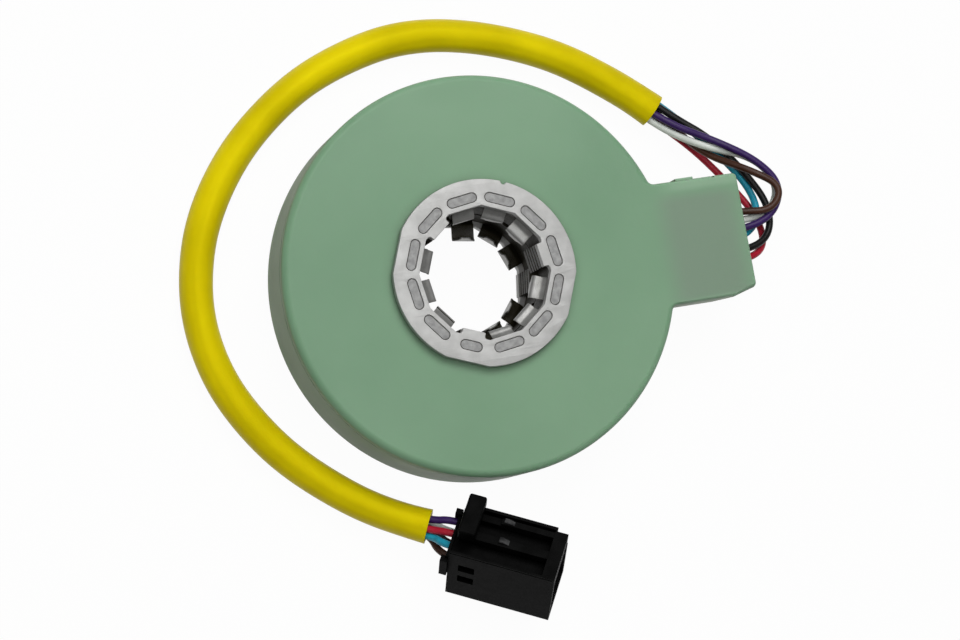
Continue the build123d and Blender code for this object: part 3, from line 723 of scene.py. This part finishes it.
def buildHousing():
    top, backZ, edge, foot = shell["top"], shell["back"], shell["edge"], shell["foot"]
    eaveZ = top - shell["eaveThickness"]
    levels = [(backZ, foot, False), (backZ + foot, 0, False), (eaveZ, 0, False), (eaveZ, 0, True)]
    for k in range(shell["edgeSteps"] + 1):
        t = pi / 2 * k / shell["edgeSteps"]
        levels.append((top - edge + edge * sin(t), edge * (1 - cos(t)), True))
    rows = []
    for z, inset, eave in levels:
        draft = shell["draft"] * (top - z) / (top - backZ)
        rows.append([(x, y, z) for x, y in housingLoop(inset, draft, eave)])
    count = len(rows[0])
    faces = [tuple(range(count)), tuple((len(rows) - 1) * count + i for i in range(count))]
    for r in range(len(rows) - 1):
        for i in range(count):
            j = (i + 1) % count
            faces.append((r * count + i, r * count + j, (r + 1) * count + j, (r + 1) * count + i))
    obj = meshObject("housingCup", [v for row in rows for v in row], faces)
    x0, x1, high, z0, z1 = shell["ledge"]
    obj = addBox(obj, x0, x1, shell["highSide"] - shell["ledgeRoot"], high, z0, z1)
    x0, x1, deep, down = shell["notch"]
    obj = cutBox(obj, x0, x1, shell["highSide"] - deep, shell["highSide"] + past, top - down, top + past)
    grooveTop, grooveIn = top - shell["grooveDrop"], shell["radius"] - shell["grooveDepth"]
    grooveLow, grooveOut = grooveTop - shell["grooveHeight"], shell["radius"] + past
    groove = lathe("groove", [(grooveIn, grooveLow), (grooveOut, grooveLow), (grooveOut, grooveTop),
                              (grooveIn, grooveTop)])
    clear = shell["grooveClear"]
    groove = cutBox(groove, *shell["blockSpan"], -shell["lowSide"] - clear, shell["highSide"] + clear,
                    0, 2 * top)
    obj = boolean(obj, groove)
    inside, roof = shell["radius"] - shell["wall"], top - shell["wall"]
    cavity = [(0, backZ - past), (inside, backZ - past), (inside, roof), (0, roof)]
    obj = boolean(obj, lathe("cavity", cavity, shell["cavitySteps"]))
    wall = shell["blockWall"]
    obj = cutBox(obj, shell["hollowFrom"], shell["wallReach"] + past, -shell["lowSide"] + wall,
                 shell["highSide"] - wall, backZ - past, eaveZ - shell["eaveGap"])
    under = top - shell["boreDepth"]
    obj = boolean(obj, lathe("bore", [(0, under), (shell["bore"], under), (shell["bore"], top + past),
                                      (0, top + past)]))
    finishPiece(obj, "housingCup", "housing", housingSkin, ["housing_cup"], angle=32)


buildHousing()
print("housing is made")


# Hubs, each in its own frame with the flange's face at the top

hub = {
    "phase": 8.5, "face": 9.5, "flangeRadius": 17.4, "thickness": 1.6, "mouth": 12.1, "lowerMouth": 11.2,
    "flatDepth": 0.5, "notch": 0.55, "rimPoints": 720, "flangeEdge": 0.1, "tabCorner": 0.2,
    "keySectors": (0, 4, 8), "flatSectors": (5, 8, 11), "notchSector": 2, "shortSector": 8,
    "keyFace": 11.0, "keyWidth": 4.4, "keyCorner": 0.45, "keyRoot": 0.6, "keyEdge": 0.08, "keyGrooves": 4,
    "grooveDepth": 0.35, "grooveHalf": 0.25, "lugCircle": 13.9, "lugLength": 5.8, "lugShort": 4.1,
    "lugWidth": 1.75, "lugFit": 0.06, "lugSink": 0.12, "lugEdge": 0.12, "lugSteps": 10, "sheet": 0.4,
    "sheetEdge": 0.05, "sheetRadius": 15.2, "sheetPoints": 144, "neckRadius": 15.3, "neckBore": 12.6,
    "neckLow": 0.15, "discRadius": 33.5, "discLow": 1.5, "discHigh": 2.9, "dogCount": 3, "dogAngle": 24,
    "dogDepth": 1.5, "dogStart": 60, "dogSteps": 16, "dogInset": 0.1, "dogOverlap": 0.2, "dogPlay": 2,
    "gapInward": 1.9, "twist": 10,
}
leaf = {  # a step is the radius where the sheet has stepped down and the step's depth
    "width": 4.3, "root": 0.3, "flat": 0.4, "drop": 1.25, "nibDrop": 2.0, "nibWidth": 2.2, "nibLean": 0.22,
    "step": (11.5, 0.9), "deepStep": (10.75, 1.3), "deepSectors": (3, 5, 6, 7), "fall": 0.3,
    "bends": (0.25, 0.3, 0.55), "bendSteps": 6, "nibStations": (0.5, 0.8, 0.93, 1.0), "shoulder": 0.5,
    "shoulderBack": 0.15, "tip": 0.35, "across": 10, "edge": 0.07,
    "upperKnees": {1: 9.75, 2: 10.55, 3: 10.5, 5: 9.75, 6: 9.75, 7: 10.0, 9: 10.55, 10: 10.2, 11: 9.75},
    "lowerKnees": {1: 9.3, 2: 9.5, 3: 9.5, 5: 9.5, 6: 9.5, 7: 9.4, 9: 8.3, 10: 9.4, 11: 9.0},
}
flangeLow = hub["face"] - hub["thickness"]
leafLow = flangeLow - hub["sheet"]


def sectorAngle(sector):
    return radians(hub["phase"] + 30 * sector)


def slotLoop(sector, grow):
    length = hub["lugShort"] if sector == hub["shortSector"] else hub["lugLength"]
    r = hub["lugWidth"] / 2 + grow
    half = length / 2 - hub["lugWidth"] / 2
    ends = arcThrough((hub["lugCircle"], half), r, 0, pi, hub["lugSteps"])
    ends += arcThrough((hub["lugCircle"], -half), r, pi, 2 * pi, hub["lugSteps"])
    return turned(ends, sectorAngle(sector))


def flangeOuter():  # a circle with three flats and one notch
    flat = hub["flangeRadius"] - hub["flatDepth"]
    points = []
    for k in range(hub["rimPoints"]):
        a = 2 * pi * k / hub["rimPoints"]
        r = hub["flangeRadius"]
        for sector in hub["flatSectors"]:
            turn = cos(a - sectorAngle(sector))
            if turn > 0 and r * turn > flat:
                r = flat / turn
        away = angleAway(a, sectorAngle(hub["notchSector"])) * r
        if abs(away) < hub["notch"]:
            r -= sqrt(hub["notch"] ** 2 - away ** 2)
        points.append((r * cos(a), r * sin(a)))
    return points


def flangeMouth(mouth):
    # walks round the twelve-sided mouth; at a key it steps in to the tab with a small radius on each side
    points = []
    half, keyFace = hub["keyWidth"] / 2, hub["keyFace"]
    sideHalf = mouth * tan(radians(15))
    r = min(hub["keyCorner"], (mouth - keyFace) / 2)
    c = min(hub["tabCorner"], (mouth - keyFace) / 3)
    middle = 0.3 * c  # the middle point of the tab's rounded corner
    key = [(mouth, -sideHalf)]
    key += [(mouth - r + r * cos(t), -half - r + r * sin(t)) for t in (0, *cornerTurns)]
    key += [(keyFace + c, -half), (keyFace + middle, -half + middle), (keyFace, -half + c)]
    key += [(x, -y) for x, y in reversed(key)]
    for sector in range(12):
        loop = key if sector in hub["keySectors"] else [(mouth, -sideHalf), (mouth, sideHalf)]
        points += turned(loop[:-1], sectorAngle(sector))
    return points


def leafMesh(knee, step):
    # one spring leaf along +X: it steps down at the flange's edge, runs in to its knee and ends in a nib
    root, z = hub["neckBore"] + leaf["root"], flangeLow - hub["sheet"] / 2
    drop = max(leaf["drop"], step[1] + leaf["fall"])
    corners = [Vector((root, z)), Vector((root - leaf["flat"], z)), Vector((step[0], z - step[1])),
               Vector((knee, z - drop)), Vector((knee + leaf["nibLean"], z - drop - leaf["nibDrop"]))]
    line = [corners[0]]
    for i, r in enumerate(leaf["bends"]):
        a, b, c = corners[i:i + 3]
        start, end = b + (a - b).normalized() * r, b + (c - b).normalized() * r
        for k in range(leaf["bendSteps"] + 1):
            t = k / leaf["bendSteps"]
            line.append(start * (1 - t) ** 2 + b * 2 * t * (1 - t) + end * t * t)
    line.append(line[-1].lerp(corners[-1], 0.5))
    line += [line[-1].lerp(corners[-1], t) for t in leaf["nibStations"]]
    dist = [0]
    for a, b in zip(line, line[1:]):
        dist.append(dist[-1] + (b - a).length)
    full, nib, total = leaf["width"] / 2, leaf["nibWidth"] / 2, dist[-1]
    shoulder, tip, across = leaf["shoulder"], leaf["tip"], leaf["across"]
    nibStart = dist[-1 - len(leaf["nibStations"])] - leaf["shoulderBack"]
    verts, faces = [], []
    for point, s in zip(line, dist):
        if s < nibStart:
            half = full - shoulder * max(0, 1 - (nibStart - s) / shoulder) ** 2
        else:
            half = nib - tip * max(0, 1 - (total - s) / tip) ** 2
        verts += [(point.x, half * (2 * k / across - 1), point.y) for k in range(across + 1)]
    for i in range(len(line) - 1):
        for k in range(across):
            a = i * (across + 1) + k
            faces.append((a, a + 1, a + across + 2, a + across + 1))
    obj = meshObject("leaf", verts, faces)
    mod = obj.modifiers.new("sheet", "SOLIDIFY")
    mod.thickness = hub["sheet"]
    mod.offset = 0
    return softEdges(bake(obj), leaf["edge"])


def rotate(obj, angle):
    obj.data.transform(Matrix.Rotation(angle, 4, "Z"))
    return obj


def keyPad(sector):
    face, half, lowZ = hub["keyFace"], hub["keyWidth"] / 2, hub["neckLow"]
    pad = boxObject(face, hub["neckBore"] + hub["keyRoot"], -half, half, lowZ, leafLow)
    pitch = (leafLow - lowZ) / (hub["keyGrooves"] + 1)
    for k in range(hub["keyGrooves"]):
        z = lowZ + pitch * (k + 1)
        pad = cutBox(pad, face - past, face + hub["grooveDepth"], -half - past, half + past,
                     z - hub["grooveHalf"], z + hub["grooveHalf"])
    return rotate(softEdges(pad, hub["keyEdge"]), sectorAngle(sector))


def dogBlock(k, upperOne):  # a dog of the upper rotor, or the gap in the lower one that it moves in
    bore, neck, lowZ, depth = hub["neckBore"], hub["neckRadius"], hub["neckLow"], hub["dogDepth"]
    inset, overlap = hub["dogInset"], hub["dogOverlap"]
    centre, angle = radians(hub["phase"] + hub["dogStart"] + 120 * k), radians(hub["dogAngle"])
    inner, outer, low, high = bore + inset, neck - inset, lowZ - depth, lowZ + overlap
    if not upperOne:
        angle += radians(2 * hub["twist"] + hub["dogPlay"])
        inner, outer, low, high = bore - hub["gapInward"], neck + overlap, lowZ - past, lowZ + depth + inset
    start, end = centre - angle / 2, centre + angle / 2
    loop = arcThrough((0, 0), outer, start, end, hub["dogSteps"])
    loop += arcThrough((0, 0), inner, end, start, hub["dogSteps"])
    flip = 1 if upperOne else -1
    return meshObject("dog", [(x, y * flip, z) for z in (low, high) for x, y in loop], prismFaces(len(loop)))


def buildRotor(upperOne):
    bore, neck, lowZ, disc = hub["neckBore"], hub["neckRadius"], hub["neckLow"], hub["discRadius"]
    low, high = hub["discLow"], hub["discHigh"]
    body = lathe("rotor", [(bore, lowZ), (neck, lowZ), (neck, low), (disc, low), (disc, high), (neck, high),
                           (neck, leafLow), (bore, leafLow)])
    for sector in hub["keySectors"]:
        body = boolean(body, keyPad(sector), "UNION")
    for k in range(hub["dogCount"]):
        body = boolean(body, dogBlock(k, upperOne), "UNION" if upperOne else "DIFFERENCE")
    lugLow, lugHigh = leafLow - hub["sheet"] / 2, hub["face"] - hub["lugSink"]
    lugs = [plate("lug", slotLoop(sector, 0), [], lugLow, lugHigh, hub["lugEdge"]) for sector in range(12)]
    return join("rotor", [body] + lugs)


def buildHub(prefix, body, place, mouth, upperOne):
    slots = [slotLoop(sector, hub["lugFit"]) for sector in range(12)]
    holes = [flangeMouth(mouth)] + slots
    flange = plate("flange", flangeOuter(), holes, flangeLow, hub["face"], hub["flangeEdge"])
    finishPiece(flange, prefix + "Flange", body, flangeSkin, [prefix + "_flange"], place)
    turns = [2 * pi * k / hub["sheetPoints"] for k in range(hub["sheetPoints"])]
    rim, inner = [[(r * cos(a), r * sin(a)) for a in turns] for r in (hub["sheetRadius"], hub["neckBore"])]
    sheet = plate("leafRing", rim, [inner] + slots, leafLow, flangeLow, hub["sheetEdge"])
    leaves = []
    for sector, knee in leaf[prefix + "Knees"].items():
        step = leaf["deepStep" if upperOne and sector in leaf["deepSectors"] else "step"]
        leaves.append(rotate(leafMesh(knee, step), sectorAngle(sector)))
    ring = join("leafRing", [sheet] + leaves)
    finishPiece(ring, prefix + "LeafRing", body, springSkin, [prefix + "_leaf_ring"], place)
    finishPiece(buildRotor(upperOne), prefix + "Rotor", body, lugSkin, [prefix + "_rotor"], place)


upperPlace = Matrix.Translation((0, 0, midPlane))
lowerPlace = upperPlace @ Matrix.Rotation(pi, 4, "X")
buildHub("upper", "upper_hub", upperPlace, hub["mouth"], True)
buildHub("lower", "lower_hub", lowerPlace, hub["lowerMouth"], False)
print("hubs are made")


# Connector

def wedge(x0, x1, top, low, y0, y1):  # a latch catch: steep at x0, falling gently to x1
    heel, rise, toe = plug["catchHeel"], plug["catchRise"], plug["catchToe"]
    loop = [(x0, low - heel), (x1, low - heel), (x1, low + toe), (x0 + rise, top), (x0 + heel, top - heel)]
    verts = [(x, y, z) for y in (y0, y1) for x, z in loop]
    return softEdges(meshObject("catch", verts, prismFaces(len(loop))), plug["catchEdge"], angle=40)


def alongCavity(obj, x, colour):  # turns a lathed piece to lie in its cavity, from x on
    obj.data.transform(Matrix.Translation((x, *cavityCentre(colour))) @ Matrix.Rotation(pi / 2, 4, "Y"))
    return obj


def buildShell(place):
    halfL, halfW, halfH = plug["length"] / 2, plug["width"] / 2, plug["height"] / 2
    obj = boxObject(-halfL, halfL, -halfW, halfW, -halfH, halfH, "shell")
    obj = cutBox(obj, *plug["well"], plug["latchFloor"], halfH + past)
    for sizes in plug["legs"]:
        obj = addBox(obj, *sizes)
    for sizes in plug["cuts"]:
        obj = cutBox(obj, *sizes)
    c = plug["cavity"] / 2
    for colour in lead["order"]:
        y, z = cavityCentre(colour)
        obj = cutBox(obj, -halfL - past, halfL - plug["cavityDepth"], y - c, y + c, z - c, z + c)
    for low, high in plug["windows"]:
        obj = cutBox(obj, plug["windowFrom"], plug["windowTo"], -halfW - past, -halfW + plug["windowDepth"],
                     low, high)
    tab = softEdges(boxObject(*plug["tab"]), plug["tabEdge"], 3)
    obj = join("connectorShell", [softEdges(obj, plug["edge"]), tab])
    catches = join("latchCatches", [wedge(*sizes) for sizes in plug["catches"]])
    # the latch catches carry the painted highlight of the lighter black
    finishPiece(catches, "latchCatches", "housing", catchHighlightSkin, (), place)
    finishPiece(obj, "connectorShell", "housing", connectorSkin, ["connector_shell"], place)


def buildRetainer(rear, place):
    thick, *sizes = plug["keeper"][0]
    keeper = boxObject(rear - thick, rear, *sizes)
    for thick, *sizes in plug["keeper"][1:]:
        keeper = addBox(keeper, rear - thick, rear, *sizes)
    radius, reach = lead["wireDiameter"] / 2 + plug["retainerHole"], plug["keeperReach"]
    for colour in lead["order"]:
        profile = [(0, -reach), (radius, -reach), (radius, reach), (0, reach)]
        keeper = boolean(keeper, alongCavity(lathe("hole", profile, plug["holeSteps"]), rear, colour))
    keeper = softEdges(keeper, plug["keeperEdge"], 3)
    finishPiece(keeper, "connectorRetainer", "housing", connectorSkin, ["connector_retainer"],
                place)


def buildTerminals(rear, place):
    contacts = []
    half, slit, crimpLength = plug["terminal"] / 2, plug["boxSlit"], plug["crimpLength"]
    for colour in lead["order"]:
        y, z = cavityCentre(colour)
        start = rear - turnIn[colour] + lead["cavityRun"]
        end = start + plug["terminalLength"]
        profile = [(0, 0), (half, 0), (half, crimpLength), (0, crimpLength)]
        crimp = alongCavity(lathe("crimp", profile, plug["crimpSteps"]), start, colour)
        box = boxObject(start + plug["boxStart"], end, y - half, y + half, z - half, z + half)
        box = cutBox(box, end - plug["boxDepth"], end + past, y - slit, y + slit, z - slit, z + slit)
        contacts += [crimp, softEdges(box, plug["boxEdge"])]
    finishPiece(join("connectorTerminals", contacts), "connectorTerminals", "housing", tinSkin,
                ["connector_terminals"], place)


plugTurn, plugRear = plugPlace(), -plug["length"] / 2
buildShell(plugTurn)
buildRetainer(plugRear, plugTurn)
buildTerminals(plugRear, plugTurn)
print("connector is made")


# Nodes of the frame that keep their own solids

nodeSkins = {
    "housing_lid": housingSkin, "wire_holder": housingSkin, "upper_bush": brassSkin, "lower_bush": brassSkin,
    "dish_spring": springSkin, "angle_board": boardSkin, "feed_board": boardSkin, "torque_board": boardSkin,
    "angle_tracks": brassSkin, "feed_tracks": brassSkin, "torque_tracks": brassSkin,
    "angle_wipers": brassSkin, "torque_wipers": brassSkin, "feed_wipers": brassSkin,
    "terminal_pins": tinSkin, "link_pins": tinSkin,
}
for nodeName, skin in nodeSkins.items():
    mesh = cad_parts[nodeName].data
    for i in range(len(mesh.materials)):
        mesh.materials[i] = skin
print("the frame's own nodes are dressed")
